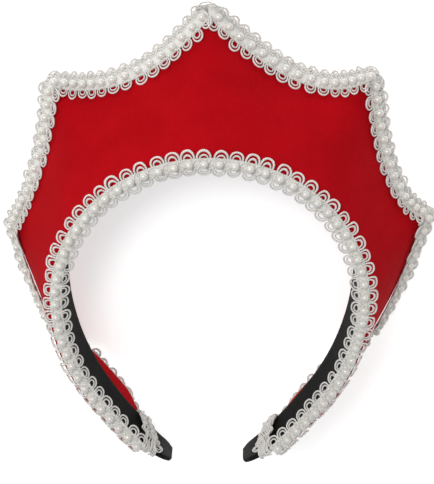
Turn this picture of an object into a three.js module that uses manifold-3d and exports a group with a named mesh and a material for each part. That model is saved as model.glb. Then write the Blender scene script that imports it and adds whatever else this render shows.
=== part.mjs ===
// French hood headdress lying on its back: a stiff five-pointed crest set on a wide headband,
// with pearl braid along the band's front edge and along the crest's whole rim.
// Millimetres. X runs across the hood, Y towards its top point and Z out of its front.

import * as THREE from 'three';
import Module from 'manifold-3d';
import { mergeVertices } from 'three/addons/utils/BufferGeometryUtils.js';

const wasm = await Module();
wasm.setup();

// Front line of the headband, on each side of its top: three tangent arcs
const CROWN_RADIUS = 66.8;
const CROWN_SWEEP = 91.5;
const CHEEK_RADIUS = 90;
const CHEEK_SWEEP = 34.3;
const TAIL_RADIUS = 400;
const TAIL_LENGTH = 49.9;

// Headband, a covered strip whose faces lie on each side of that line
const BAND_WALL = 2.5;
const BAND_INSET = 2;
const BAND_WIDTH = 34;
const BAND_CUTS = 18;

// Crest, a padded board between the band's front edge and its own rim
const CREST_WALL = 2.5;
const CREST_STAND = 53.6;
const HOOD_DEPTH = 42;
const RIM_LIFT = 3;

// Pearl braid
const BRAID_WIDTH = 12.9;
const BRAID_WAIST = 10.4;
const BRAID_THICKNESS = 1.2;
const PEARL_RADIUS = 2.05;
const PEARL_PITCH = 6.4;
const RIM_PITCH = 6.3;
const CROWD_FROM = 0.5;
const CROWD_FULL = 0.78;
const PEARL_SINK = 1.3;
const PEARL_SIDES = 10;
const PEARL_SHOULDER = 55;
const PEARL_FOOT = 118;
const SEAT_SHARE = 0.45;
const BRAID_DROOP = 25;
const BRAID_REST = 0.5;
const RIM_BRAID_GAP = 0.7;
const BRAID_JOIN = 1.4;
const WRAP_START = 18.1;
const WRAP_LENGTH = 8.2;
const WRAP_THICKNESS = 1.5;
const WRAP_SKIN = 0.7;
const WRAP_BULGE = 0.6;
const WRAP_CUTS = 4;

// Small gap kept between neighbouring pieces, and how flat the faces of a joined piece are
const GAP = 0.3;
const FLATNESS = 0.001;
const MERGE = 1e-5;
const CLOSE = 1e-6;

// Headband at shares of its half length: its width and the drop of its front edge, both as
// shares of BAND_WIDTH
const BAND_TAPER = [
  { at: 0.0, width: 1.0, drop: 0 },
  { at: 0.53, width: 1.0, drop: 0 },
  { at: 0.61, width: 0.92, drop: 0 },
  { at: 0.69, width: 0.81, drop: 0 },
  { at: 0.76, width: 0.71, drop: 0 },
  { at: 0.83, width: 0.62, drop: 0 },
  { at: 0.9, width: 0.6, drop: 0 },
  { at: 0.93, width: 0.54, drop: 0.06 },
  { at: 0.96, width: 0.47, drop: 0.13 },
  { at: 0.985, width: 0.42, drop: 0.2 },
  { at: 1.0, width: 0.29, drop: 0.27 },
];

// Corners of the rim from the top point down each side: upper point, side point, cheek, jaw,
// lower jaw and end. at: share of the band's half length. stand: distance out from the band,
// share of CREST_STAND. depth: share of HOOD_DEPTH. sag: hollow of the edge that comes down to
// the corner, share of CREST_STAND, deepest at sagAt. crowd: how much closer the pearls sit at
// the end of that edge. cuts: sections along it.
const TOP_POINT = { at: -0.006, stand: 1.0, depth: 1.0 };
const LEFT_RIM = [
  { at: 0.217, stand: 0.828, depth: 1.0, sag: 0.219, sagAt: 0.61, crowd: 0.36, cuts: 8 },
  { at: 0.441, stand: 0.479, depth: 1.0, sag: 0.071, sagAt: 0.65, crowd: 0.4, cuts: 7 },
  { at: 0.646, stand: 0.261, depth: 1.0, sag: -0.008, sagAt: 0.5, crowd: 0, cuts: 5 },
  { at: 0.746, stand: 0.093, depth: 0.93, sag: -0.01, sagAt: 0.5, crowd: 0, cuts: 4 },
  { at: 0.865, stand: 0.071, depth: 0.87, sag: 0, sagAt: 0.5, crowd: 0, cuts: 4 },
  { at: 0.908, stand: 0.066, depth: 0.62, sag: -0.01, sagAt: 0.5, crowd: 0, cuts: 3 },
];
const RIGHT_RIM = [
  { at: 0.203, stand: 0.89, depth: 1.0, sag: 0.232, sagAt: 0.75, crowd: 0.36, cuts: 8 },
  { at: 0.416, stand: 0.639, depth: 1.0, sag: 0.15, sagAt: 0.83, crowd: 0.4, cuts: 7 },
  { at: 0.646, stand: 0.307, depth: 1.0, sag: -0.031, sagAt: 0.54, crowd: 0, cuts: 5 },
  { at: 0.746, stand: 0.093, depth: 0.78, sag: -0.01, sagAt: 0.5, crowd: 0, cuts: 4 },
  { at: 0.865, stand: 0.071, depth: 0.68, sag: 0, sagAt: 0.5, crowd: 0, cuts: 4 },
  { at: 0.9, stand: 0.066, depth: 0.52, sag: -0.01, sagAt: 0.5, crowd: 0, cuts: 3 },
];

const radians = THREE.MathUtils.degToRad;
const CROWN_LENGTH = CROWN_RADIUS * radians(CROWN_SWEEP);
const CHEEK_LENGTH = CHEEK_RADIUS * radians(CHEEK_SWEEP);
const HALF_LENGTH = CROWN_LENGTH + CHEEK_LENGTH + TAIL_LENGTH;
const FRONT = RIM_LIFT + HOOD_DEPTH;
const UP = new THREE.Vector3(0, 0, 1);

// Point of the front line at a signed distance from its top, with the outward direction there.
function frontLine(distance) {
  const arcs = [
    { radius: CROWN_RADIUS, length: CROWN_LENGTH },
    { radius: CHEEK_RADIUS, length: CHEEK_LENGTH },
    { radius: TAIL_RADIUS, length: Infinity },
  ];
  let left = Math.abs(distance);
  let turn = 0;
  let x = 0;
  let y = 0;
  for (const arc of arcs) {
    const step = Math.min(left, arc.length);
    const next = turn + step / arc.radius;
    x += arc.radius * (Math.sin(next) - Math.sin(turn));
    y += arc.radius * (Math.cos(next) - Math.cos(turn));
    turn = next;
    left -= step;
    if (left <= 0) break;
  }
  const side = distance < 0 ? -1 : 1;
  return {
    point: new THREE.Vector3(side * x, y, 0),
    out: new THREE.Vector3(side * Math.sin(turn), Math.cos(turn), 0),
  };
}

// Point at an offset out from the front line and a height above the surface the hood lies on.
function atLine(distance, offset, height) {
  const { point, out } = frontLine(distance);
  return point.addScaledVector(out, offset).setZ(height);
}

// Value of a column of a table between its rows
function between(rows, column, at) {
  const next = rows.findIndex((row) => row.at >= at);
  if (next <= 0) return rows[next < 0 ? rows.length - 1 : 0][column];
  const [a, b] = [rows[next - 1], rows[next]];
  return THREE.MathUtils.lerp(a[column], b[column], (at - a.at) / (b.at - a.at));
}

// Closed solid of a ribbon: each station has matching rows of points on its top and its underside.
function ribbon(stations) {
  const count = stations[0].top.length;
  const points = stations.flatMap(({ top, under }) => [...top, ...under]);
  const top = (i, j) => i * 2 * count + j;
  const under = (i, j) => top(i, j) + count;
  const faces = [];
  const quad = (a, b, c, d) => faces.push(a, b, c, a, c, d);
  const last = stations.length - 1;
  for (let i = 0; i < last; i += 1) {
    for (let j = 0; j < count - 1; j += 1) {
      quad(top(i, j), top(i + 1, j), top(i + 1, j + 1), top(i, j + 1));
      quad(under(i, j), under(i, j + 1), under(i + 1, j + 1), under(i + 1, j));
    }
    quad(top(i, 0), under(i, 0), under(i + 1, 0), top(i + 1, 0));
    quad(top(i, count - 1), top(i + 1, count - 1), under(i + 1, count - 1), under(i, count - 1));
  }
  for (let j = 0; j < count - 1; j += 1) {
    quad(top(0, j), top(0, j + 1), under(0, j + 1), under(0, j));
    quad(top(last, j), under(last, j), under(last, j + 1), top(last, j + 1));
  }
  const geometry = new THREE.BufferGeometry().setFromPoints(points);
  geometry.setIndex(volumeOf(points, faces) < 0 ? faces.reverse() : faces);
  return geometry;
}

function volumeOf(points, faces) {
  let sum = 0;
  for (let i = 0; i < faces.length; i += 3) {
    const [a, b, c] = [points[faces[i]], points[faces[i + 1]], points[faces[i + 2]]];
    sum += a.dot(new THREE.Vector3().crossVectors(b, c)) / 6;
  }
  return sum;
}

// Solid for joining and cutting, and back again
function solidOf(geometry) {
  const bare = geometry.clone();
  bare.deleteAttribute('normal');
  bare.deleteAttribute('uv');
  const merged = mergeVertices(bare, MERGE);
  return new wasm.Manifold(new wasm.Mesh({
    numProp: 3,
    vertProperties: new Float32Array(merged.attributes.position.array),
    triVerts: new Uint32Array(merged.index.array),
  }));
}

function geometryOf(solid) {
  const mesh = solid.getMesh();
  const geometry = new THREE.BufferGeometry();
  geometry.setAttribute('position', new THREE.BufferAttribute(mesh.vertProperties, mesh.numProp));
  geometry.setIndex(new THREE.BufferAttribute(mesh.triVerts, 1));
  return geometry;
}

// Rim of the crest, as a walk from the top point down one side
function rimSide(side, rows) {
  const corner = (row, sign) => ({
    distance: sign * row.at * HALF_LENGTH,
    place: atLine(sign * row.at * HALF_LENGTH, row.stand * CREST_STAND, FRONT - row.depth * HOOD_DEPTH),
  });
  const walk = [];
  let from = corner(TOP_POINT, 1);
  for (const row of rows) {
    const to = corner(row, side);
    const chord = new THREE.Vector3().subVectors(to.place, from.place);
    const outward = new THREE.Vector3().crossVectors(chord, UP).normalize().multiplyScalar(-side);
    const bend = from.place.clone().addScaledVector(chord, row.sagAt);
    bend.addScaledVector(outward, -2 * row.sag * CREST_STAND);
    const edge = new THREE.QuadraticBezierCurve3(from.place, bend, to.place);
    for (let i = walk.length ? 1 : 0; i <= row.cuts; i += 1) {
      const t = i / row.cuts;
      walk.push({
        distance: THREE.MathUtils.lerp(from.distance, to.distance, t),
        edge: edge.getPoint(t),
        tighten: 1 - row.crowd * THREE.MathUtils.smoothstep(t, CROWD_FROM, CROWD_FULL),
      });
    }
    from = to;
  }
  return walk;
}

// Directions on the crest's outer face at each step of a walk along its rim.
// along runs with the walk, down follows the slope out to the rim and away stands off the face.
function dressWalk(walk) {
  return walk.map((step, i) => {
    const before = walk[Math.max(i - 1, 0)].edge;
    const after = walk[Math.min(i + 1, walk.length - 1)].edge;
    const along = new THREE.Vector3().subVectors(after, before).normalize();
    const root = atLine(step.distance, BAND_WALL - BAND_INSET + GAP + CREST_WALL, FRONT);
    const slope = new THREE.Vector3().subVectors(step.edge, root).normalize();
    const away = new THREE.Vector3().crossVectors(along, slope).normalize();
    if (away.dot(frontLine(step.distance).out) < 0) away.negate();
    const down = new THREE.Vector3().crossVectors(away, along).normalize();
    if (down.dot(slope) < 0) down.negate();
    return { ...step, along, slope, away, down, lean: Math.asin(-slope.z) };
  });
}

const leftWalk = rimSide(-1, LEFT_RIM);
const rightWalk = rimSide(1, RIGHT_RIM);
const rimWalk = dressWalk([...leftWalk.slice(1).reverse(), ...rightWalk]);

// Crest board: its top edge lies flush with the band's front edge and its rim is cut level.
// A margin grows its outer face and its rim, for the room that the braid leaves it.
function crestGeometry(margin = 0) {
  return ribbon(rimWalk.map(({ distance, edge, slope, away, lean }) => {
    const root = BAND_WALL - BAND_INSET + GAP;
    const inside = atLine(distance, root, FRONT + margin);
    const outside = atLine(distance, root + (CREST_WALL + margin) / Math.sin(lean), FRONT + margin);
    const level = away.clone().addScaledVector(slope, away.z / -slope.z).setZ(0);
    const inner = edge.clone().addScaledVector(level, -CREST_WALL);
    const outer = edge.clone().addScaledVector(level, margin);
    return { top: [outside, outer], under: [inside, inner] };
  }));
}

// Heights of the headband's two edges: the front one is level until it drops towards the tip.
function bandEdges(distance) {
  const at = Math.abs(distance) / HALF_LENGTH;
  const front = FRONT - BAND_WIDTH * between(BAND_TAPER, 'drop', at);
  return { front, rear: front - BAND_WIDTH * between(BAND_TAPER, 'width', at) };
}

// Headband: a level front edge, faces square to it and rounded tips
function headbandGeometry() {
  const stations = [];
  const places = BAND_TAPER.map((row) => row.at);
  for (let i = 1; i < BAND_CUTS; i += 1) places.push(i / BAND_CUTS);
  const shares = [...new Set(places.map((place) => place.toFixed(4)))].map(Number).sort((a, b) => a - b);
  const signed = [...shares.slice(1).map((share) => -share).reverse(), ...shares];
  for (const share of signed) {
    const distance = share * HALF_LENGTH;
    const { front, rear } = bandEdges(distance);
    const offsets = [-BAND_INSET, BAND_WALL - BAND_INSET];
    stations.push({
      top: [atLine(distance, offsets[0], front), atLine(distance, offsets[1], front)],
      under: [atLine(distance, offsets[0], rear), atLine(distance, offsets[1], rear)],
    });
  }
  return ribbon(stations);
}

// A pearl set on the braid: two rings of facets over a flat foot that is sunk in the weave
function pearl(foot, away) {
  const ring = (polar) => new THREE.Vector2(Math.sin(radians(polar)), Math.cos(radians(polar)));
  const [shoulder, base] = [ring(PEARL_SHOULDER), ring(PEARL_FOOT)];
  const profile = [new THREE.Vector2(0, base.y), base, shoulder, new THREE.Vector2(0, 1)];
  const centre = foot.clone().addScaledVector(away, BRAID_THICKNESS + PEARL_RADIUS - PEARL_SINK);
  const turn = new THREE.Quaternion().setFromUnitVectors(new THREE.Vector3(0, 1, 0), away);
  const size = new THREE.Vector3(PEARL_RADIUS, PEARL_RADIUS, PEARL_RADIUS);
  const place = new THREE.Matrix4().compose(centre, turn, size);
  return solidOf(new THREE.LatheGeometry(profile, PEARL_SIDES).applyMatrix4(place));
}

function pearlBraid(stations, feet) {
  const beads = feet.map(({ foot, away }) => pearl(foot, away));
  const strung = wasm.Manifold.union([solidOf(ribbon(stations)), ...beads]);
  const clear = strung.subtract(solidOf(crestGeometry(GAP / 2)));
  return geometryOf(clear.asOriginal().simplify(FLATNESS));
}

// Braid along the headband's front edge: level over the band, drooping past its inner face
// and following the slope of the crest outside it.
function frontBraid() {
  const half = PEARL_PITCH / 2;
  const reach = HALF_LENGTH - WRAP_START - GAP;
  const pearls = 2 * Math.floor(reach / PEARL_PITCH);
  const stations = [];
  const feet = [];
  for (let i = 0; i <= 2 * pearls; i += 1) {
    const distance = (i - pearls) * half;
    const wide = (i % 2 ? BRAID_WIDTH : BRAID_WAIST) / 2;
    stations.push(frontBraidSection(distance, wide));
    if (i % 2) feet.push({ foot: atLine(distance, 0, FRONT + GAP), away: UP });
  }
  return pearlBraid(stations, feet);
}

function frontBraidSection(distance, wide) {
  const lean = leanAt(distance);
  const droop = radians(BRAID_DROOP);
  const inner = -BAND_INSET - GAP;
  const outer = BAND_WALL - BAND_INSET + GAP + CREST_WALL / Math.sin(lean) + GAP;
  const inwards = wide + inner;
  const outwards = wide - outer;
  const level = FRONT + GAP;
  const section = (lift) => [
    atLine(distance, inner - inwards * Math.cos(droop), level + lift - inwards * Math.sin(droop)),
    atLine(distance, inner, level + lift),
    atLine(distance, outer + lift * Math.tan(lean / 2), level + lift),
    atLine(
      distance,
      outer + outwards * Math.cos(lean) + lift * Math.sin(lean),
      level - outwards * Math.sin(lean) + lift * Math.cos(lean),
    ),
  ];
  return { top: section(BRAID_THICKNESS), under: section(0) };
}

// Lean of the crest beside a place on the band, from the nearest steps of the rim walk
function leanAt(distance) {
  const next = rimWalk.findIndex((step) => step.distance >= distance);
  if (next < 0) return rimWalk.at(-1).lean;
  if (next === 0) return rimWalk[0].lean;
  const [a, b] = [rimWalk[next - 1], rimWalk[next]];
  return THREE.MathUtils.mapLinear(distance, a.distance, b.distance, a.lean, b.lean);
}

// Braid along the rim: it lies on the crest and its outer scallops stand past the edge to the floor.
// Each pearl sits on a flat stretch as wide as the braid, with a waist on each side of it.
function rimBraid(walk) {
  const total = lengthOf(walk);
  const stations = [rimBraidSection(stepAt(walk, BRAID_JOIN), BRAID_WAIST)];
  const feet = [];
  let place = BRAID_JOIN + RIM_PITCH / 2;
  while (place < total) {
    const step = stepAt(walk, place);
    const pitch = RIM_PITCH * step.tighten;
    const seat = Math.min(PEARL_RADIUS, SEAT_SHARE * pitch);
    for (const by of [-seat, seat]) {
      const edge = step.edge.clone().addScaledVector(step.along, by);
      stations.push(rimBraidSection({ ...step, edge }, BRAID_WIDTH));
    }
    stations.push(rimBraidSection(stepAt(walk, place + pitch / 2), BRAID_WAIST));
    feet.push({ foot: rimFoot(step), away: step.away });
    place += pitch;
  }
  return pearlBraid(stations, feet);
}

function lengthOf(walk) {
  return walk.reduce((sum, step, i) => sum + (i ? step.edge.distanceTo(walk[i - 1].edge) : 0), 0);
}

// Place and directions at a length along the walk
function stepAt(walk, length) {
  let left = length;
  for (let i = 1; i < walk.length; i += 1) {
    const [a, b] = [walk[i - 1], walk[i]];
    const reach = a.edge.distanceTo(b.edge);
    if (left <= reach || i === walk.length - 1) return blend(a, b, left / reach);
    left -= reach;
  }
  return walk[0];
}

function blend(a, b, t) {
  const mixed = {};
  for (const key of ['tighten', 'lean']) mixed[key] = THREE.MathUtils.lerp(a[key], b[key], Math.min(t, 1));
  for (const key of ['edge', 'along', 'away', 'down']) {
    mixed[key] = new THREE.Vector3().lerpVectors(a[key], b[key], key === 'edge' ? t : Math.min(t, 1));
    if (key !== 'edge') mixed[key].normalize();
  }
  return mixed;
}

// Foot of a pearl on the braid, so far up the slope that the outer scallops just reach the floor
function rimFoot(step) {
  const past = (RIM_LIFT + BRAID_REST) / Math.sin(step.lean);
  const shift = step.edge.clone().addScaledVector(step.down, past - BRAID_WIDTH / 2);
  return shift.addScaledVector(step.away, RIM_BRAID_GAP);
}

function rimBraidSection(step, width) {
  const foot = rimFoot(step);
  const row = (lift) => [-width / 2, width / 2].map((across) => {
    const point = foot.clone().addScaledVector(step.down, across).addScaledVector(step.away, lift);
    return point.setZ(Math.max(point.z, 0));
  });
  return { top: row(BRAID_THICKNESS), under: row(0) };
}

// End of the braid wrapped once round the headband just above its tip
function braidWrap(side) {
  const start = HALF_LENGTH - WRAP_START;
  const stations = [];
  for (let i = 0; i <= WRAP_CUTS; i += 1) {
    const share = i / WRAP_CUTS;
    const distance = side * (start + share * WRAP_LENGTH);
    const edges = bandEdges(distance);
    const inner = -BAND_INSET - GAP;
    const outer = BAND_WALL - BAND_INSET;
    const rear = edges.rear - GAP;
    const skin = WRAP_THICKNESS * (WRAP_SKIN + WRAP_BULGE * Math.sin(Math.PI * share));
    const front = edges.front + GAP;
    const section = (lift) => [
      atLine(distance, outer, front + lift),
      atLine(distance, inner - lift, front + lift),
      atLine(distance, inner - lift, rear - lift),
      atLine(distance, outer, rear - lift),
    ];
    stations.push({ top: section(skin), under: section(0) });
  }
  return ribbon(stations);
}

const felt = new THREE.MeshStandardMaterial({ color: 0xb00c14, roughness: 0.85, metalness: 0 });
const blackCloth = new THREE.MeshStandardMaterial({ color: 0x1c1c1b, roughness: 0.6, metalness: 0 });
const braid = new THREE.MeshStandardMaterial({ color: 0xebe8e1, roughness: 0.7, metalness: 0 });

function piece(name, geometry, material) {
  const mesh = new THREE.Mesh(geometry, material);
  mesh.name = name;
  return mesh;
}

const topStep = rimWalk.findIndex((step) => step.distance >= TOP_POINT.at * HALF_LENGTH - CLOSE);
const backwards = (step) => ({ ...step, along: step.along.clone().negate() });
const leftSide = rimWalk.slice(0, topStep + 1).reverse().map(backwards);
const rightSide = rimWalk.slice(topStep);

const hood = new THREE.Group();
hood.add(
  piece('headband', headbandGeometry(), blackCloth),
  piece('crest', crestGeometry(), felt),
  piece('front_braid', frontBraid(), braid),
  piece('left_rim_braid', rimBraid(leftSide), braid),
  piece('right_rim_braid', rimBraid(rightSide), braid),
  piece('left_braid_wrap', braidWrap(-1), braid),
  piece('right_braid_wrap', braidWrap(1), braid),
);

// The origin is below the middle of the whole hood, on the surface it lies on.
const middle = new THREE.Box3().setFromObject(hood).getCenter(new THREE.Vector3());
hood.position.set(-middle.x, -middle.y, 0);

export default hood;
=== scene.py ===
"""French hood headdress lying on its back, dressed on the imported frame.

A wide black headband carries a stiff red five-pointed crest. White corded braid set with pearls
runs along the band's front edge and along the crest's rim, and its ends wrap round the band's tips.
"""
import logging
import math
from dataclasses import dataclass, field
from enum import Enum
from typing import Any, Callable, Sequence

import bpy
import numpy as np
from mathutils import Matrix, Vector


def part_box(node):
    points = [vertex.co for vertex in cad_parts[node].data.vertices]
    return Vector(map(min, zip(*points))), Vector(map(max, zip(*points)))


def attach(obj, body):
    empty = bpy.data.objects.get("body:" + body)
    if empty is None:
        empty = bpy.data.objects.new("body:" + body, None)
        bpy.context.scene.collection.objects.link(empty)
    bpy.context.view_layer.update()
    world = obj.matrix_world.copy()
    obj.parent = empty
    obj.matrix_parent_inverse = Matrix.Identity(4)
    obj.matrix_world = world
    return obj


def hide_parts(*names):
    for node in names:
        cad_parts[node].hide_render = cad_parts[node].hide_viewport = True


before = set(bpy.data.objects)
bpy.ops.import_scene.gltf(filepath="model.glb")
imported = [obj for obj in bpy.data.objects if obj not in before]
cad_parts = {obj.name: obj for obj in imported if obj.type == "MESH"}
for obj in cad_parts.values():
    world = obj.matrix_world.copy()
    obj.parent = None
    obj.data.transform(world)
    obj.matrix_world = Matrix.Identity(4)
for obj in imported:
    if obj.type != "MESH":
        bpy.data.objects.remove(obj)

log = logging.getLogger("hood")

MM = 0.001
CORD_SIDES = 6
WHITE = (1.0, 1.0, 1.0, 1.0)
Array = np.ndarray
Triple = tuple[float, float, float]
Colour = Triple


class Side(Enum):
    """Which side of the hood, seen from the front; the value is the sign of its distances."""

    LEFT = -1
    RIGHT = 1

    @property
    def word(self) -> str:
        """Name of the side in the names of its pieces."""
        return self.name.lower()


# Numbers

def unit(rows: Array) -> Array:
    """Rows of vectors at length one.

    Args:
        rows: vectors, one a row.

    Returns:
        The vectors scaled to length one.
    """
    return rows / np.maximum(np.linalg.norm(rows, axis=-1, keepdims=True), 1e-12)


def smooth_step(values: Array, low: float, high: float) -> Array:
    """Rise from 0 at low to 1 at high with level ends.

    Args:
        values: where to read it.
        low: where the rise starts.
        high: where it ends.

    Returns:
        The rise at each value.
    """
    share = np.clip((np.asarray(values, float) - low) / (high - low), 0.0, 1.0)
    return share * share * (3.0 - 2.0 * share)


def soften(rows: Array, reach: float) -> Array:
    """Rows of a line averaged with their neighbours, its ends kept.

    Args:
        rows: points or values along a line, evenly spaced.
        reach: width of the averaging, in rows.

    Returns:
        The averaged rows.
    """
    half = int(math.ceil(3.0 * reach))
    offsets = np.arange(-half, half + 1)
    weights = np.exp(-0.5 * (offsets / reach) ** 2)
    weights /= weights.sum()
    flat = rows.reshape(len(rows), -1)
    before = 2.0 * flat[0] - flat[half:0:-1]
    after = 2.0 * flat[-1] - flat[-2:-half - 2:-1]
    longer = np.vstack([before, flat, after])
    mixed = sum(weight * longer[i:i + len(flat)] for i, weight in enumerate(weights))
    return mixed.reshape(rows.shape)


def along_line(points: Array) -> Array:
    """Length along a line of points at each of them.

    Args:
        points: the line's points.

    Returns:
        The length from the first point to each point.
    """
    steps = np.linalg.norm(np.diff(points, axis=0), axis=1)
    return np.concatenate([[0.0], np.cumsum(steps)])


def read_rows(at: Array, known: Array, rows: Array) -> Array:
    """Rows of a table read between its entries.

    Args:
        at: where to read it.
        known: where its rows stand, rising.
        rows: the table's rows.

    Returns:
        A row for each place.
    """
    return np.stack([np.interp(at, known, rows[:, i]) for i in range(rows.shape[1])], axis=1)


# Meshes

def shell(rings: Array, name: str) -> bpy.types.Mesh:
    """Closed mesh through rings of points, in millimetres, with its faces turned outwards.

    Args:
        rings: points as [ring, point round it, xyz].
        name: the mesh's name.

    Returns:
        The mesh, in metres.
    """
    count, around, _ = rings.shape
    index = np.arange(count * around).reshape(count, around)
    after = np.roll(index, -1, axis=1)
    quads = np.stack([index[:-1], after[:-1], after[1:], index[1:]], axis=-1).reshape(-1, 4)
    faces: list[list[int]] = quads.tolist()
    faces += [index[0, ::-1].tolist(), index[-1].tolist()]
    points = rings.reshape(-1, 3)
    a, b, c, d = (points[quads[:, i]] for i in range(4))
    volume = np.einsum("ij,ij->", a, np.cross(b, c) + np.cross(c, d))
    if volume < 0:
        faces = [face[::-1] for face in faces]
    mesh = bpy.data.meshes.new(name)
    mesh.from_pydata((points * MM).tolist(), [], faces)
    mesh.update()
    return mesh


def shade_smooth(mesh: bpy.types.Mesh) -> None:
    """Rounds the shading of a mesh's faces."""
    mesh.polygons.foreach_set("use_smooth", [True] * len(mesh.polygons))


def give_values(mesh: bpy.types.Mesh, name: str, values: Array) -> None:
    """Stores a number for each point of a mesh, for its finish to read.

    Args:
        mesh: the mesh.
        name: the number's name.
        values: one number a point.
    """
    layer = mesh.attributes.new(name, "FLOAT", "POINT")
    layer.data.foreach_set("value", values.astype(np.float32).ravel())


def read_values(mesh: bpy.types.Mesh, name: str) -> Array:
    """Value of each point of a mesh.

    Args:
        mesh: the mesh.
        name: the value's name.

    Returns:
        One number a point.
    """
    values = np.zeros(len(mesh.vertices), np.float32)
    mesh.attributes[name].data.foreach_get("value", values)
    return values


def read_points(mesh: bpy.types.Mesh) -> Array:
    """Points of a mesh as rows."""
    values = np.zeros(len(mesh.vertices) * 3)
    mesh.vertices.foreach_get("co", values)
    return values.reshape(-1, 3)


def add_object(name: str, mesh: bpy.types.Mesh) -> bpy.types.Object:
    """Object at the origin that shows a mesh.

    Args:
        name: its name.
        mesh: its mesh.

    Returns:
        The object, linked to the scene.
    """
    made = bpy.data.objects.new(name, mesh)
    bpy.context.scene.collection.objects.link(made)
    return made


def hand_over(piece: bpy.types.Object, nodes: Sequence[str]) -> bpy.types.Object:
    """Puts a finished piece on the hood's body and hides the solids that it stands for.

    Args:
        piece: the finished piece.
        nodes: the solids that it stands for.

    Returns:
        The piece.
    """
    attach(piece, "root")
    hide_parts(*nodes)
    log.info("%s: %d faces", piece.name, len(piece.data.polygons))
    return piece


# Node graphs, for finishes and for pieces that repeat

class Wire:
    """A socket's value, so that sums on it read as an expression and add their own nodes."""

    def __init__(self, graph: "Graph", socket: bpy.types.NodeSocket | None) -> None:
        """Wraps an output socket of a graph."""
        self.graph = graph
        self.socket = socket

    def maths(self, operation: str, *others: "Wire | float", flip: bool = False) -> "Wire":
        """Adds a Math node.

        Args:
            operation: the node's operation.
            others: its other values.
            flip: whether this value comes second.

        Returns:
            The node's result.
        """
        values = (*others, self) if flip else (self, *others)
        return self.graph.node("ShaderNodeMath", {"operation": operation}, dict(enumerate(values)))

    def __add__(self, other: "Wire | float") -> "Wire":
        """Sum."""
        return self.maths("ADD", other)

    __radd__ = __add__

    def __mul__(self, other: "Wire | float") -> "Wire":
        """Product."""
        return self.maths("MULTIPLY", other)

    __rmul__ = __mul__

    def __sub__(self, other: "Wire | float") -> "Wire":
        """Difference."""
        return self.maths("SUBTRACT", other)

    def __rsub__(self, other: "Wire | float") -> "Wire":
        """Difference from a number."""
        return self.maths("SUBTRACT", other, flip=True)

    def __truediv__(self, other: "Wire | float") -> "Wire":
        """Quotient."""
        return self.maths("DIVIDE", other)

    def sin(self) -> "Wire":
        """Sine."""
        return self.maths("SINE")

    def cos(self) -> "Wire":
        """Cosine."""
        return self.maths("COSINE")

    def whole(self) -> "Wire":
        """Nearest whole number."""
        return self.maths("ROUND")

    def rise(self, low: float, high: float) -> "Wire":
        """Smooth rise of the value from 0 at low to 1 at high."""
        settings = {"interpolation_type": "SMOOTHSTEP"}
        return self.graph.node("ShaderNodeMapRange", settings, {"Value": self, 1: low, 2: high})


class Graph:
    """A tree of nodes that is built by one method."""

    def __init__(self, tree: bpy.types.NodeTree) -> None:
        """Takes an empty tree."""
        self.tree = tree

    def node(
        self,
        kind: str,
        settings: dict[str, Any] | None = None,
        values: dict[int | str, Any] | None = None,
        output: int | str = 0,
    ) -> Wire:
        """Adds a node.

        Args:
            kind: the node's type.
            settings: its own settings, such as its operation, which are set first.
            values: numbers or wires for its sockets, by name or place.
            output: the output to hand back.

        Returns:
            The chosen output.
        """
        made = self.tree.nodes.new(kind)
        for name, value in (settings or {}).items():
            setattr(made, name, value)
        for key, value in (values or {}).items():
            if isinstance(value, Wire):
                self.tree.links.new(value.socket, made.inputs[key])
            elif isinstance(value, list):
                for wire in reversed(value):
                    self.tree.links.new(wire.socket, made.inputs[key])
            else:
                made.inputs[key].default_value = value
        return Wire(self, made.outputs[output] if made.outputs else None)

    def vector(self, x: Wire | float, y: Wire | float, z: Wire | float) -> Wire:
        """Vector of three values."""
        return self.node("ShaderNodeCombineXYZ", None, {0: x, 1: y, 2: z})

    def parts(self, vector: Wire) -> tuple[Wire, Wire, Wire]:
        """Three values of a vector."""
        first = self.node("ShaderNodeSeparateXYZ", None, {0: vector})
        outputs = first.socket.node.outputs
        return first, Wire(self, outputs[1]), Wire(self, outputs[2])

    def value(self, name: str) -> Wire:
        """Value that a mesh's points carry under a name."""
        return self.node("ShaderNodeAttribute", {"attribute_name": name}, None, "Fac")

    def place(self) -> Wire:
        """Place on the object."""
        return self.node("ShaderNodeTexCoord", None, None, "Object")

    def noise(self, place: Wire, scale: float, detail: float = 3.0, rough: float = 0.5) -> Wire:
        """Cloudy noise.

        Args:
            place: where it is read.
            scale: how many clouds there are a metre.
            detail: how many finer layers it has.
            rough: how strong those are.

        Returns:
            Its value, from 0 to 1.
        """
        values = {"Vector": place, "Scale": scale, "Detail": detail, "Roughness": rough}
        return self.node("ShaderNodeTexNoise", None, values)

    def blend(self, share: Wire | float, low: Wire | Colour, high: Wire | Colour) -> Wire:
        """Colour between two colours.

        Args:
            share: how much of the second.
            low: the first colour.
            high: the second colour.

        Returns:
            The mixed colour.
        """
        first, second = (c if isinstance(c, Wire) else (*c, 1.0) for c in (low, high))
        return self.node("ShaderNodeMix", {"data_type": "RGBA"}, {0: share, 6: first, 7: second}, 2)

    def bump(self, height: Wire, depth_mm: float, strength: float = 1.0) -> Wire:
        """Normal of a relief.

        Args:
            height: the relief, from 0 to 1.
            depth_mm: its depth, in millimetres.
            strength: how much of it shows.

        Returns:
            The normal.
        """
        values = {"Height": height, "Distance": depth_mm * MM, "Strength": strength}
        return self.node("ShaderNodeBump", None, values)


class Finish:
    """A material made of nodes on one Principled shader."""

    name: str = "finish"

    def paint(self, graph: Graph) -> dict[str, Any]:
        """Values and wires for the shader's sockets."""
        raise NotImplementedError

    def make(self) -> bpy.types.Material:
        """Builds the material, once.

        Returns:
            The material.
        """
        known = bpy.data.materials.get(self.name)
        if known:
            return known
        material = bpy.data.materials.new(self.name)
        material.use_nodes = True
        material.node_tree.nodes.clear()
        graph = Graph(material.node_tree)
        shader = graph.node("ShaderNodeBsdfPrincipled", None, self.paint(graph))
        graph.node("ShaderNodeOutputMaterial", None, {"Surface": shader})
        return material


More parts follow.
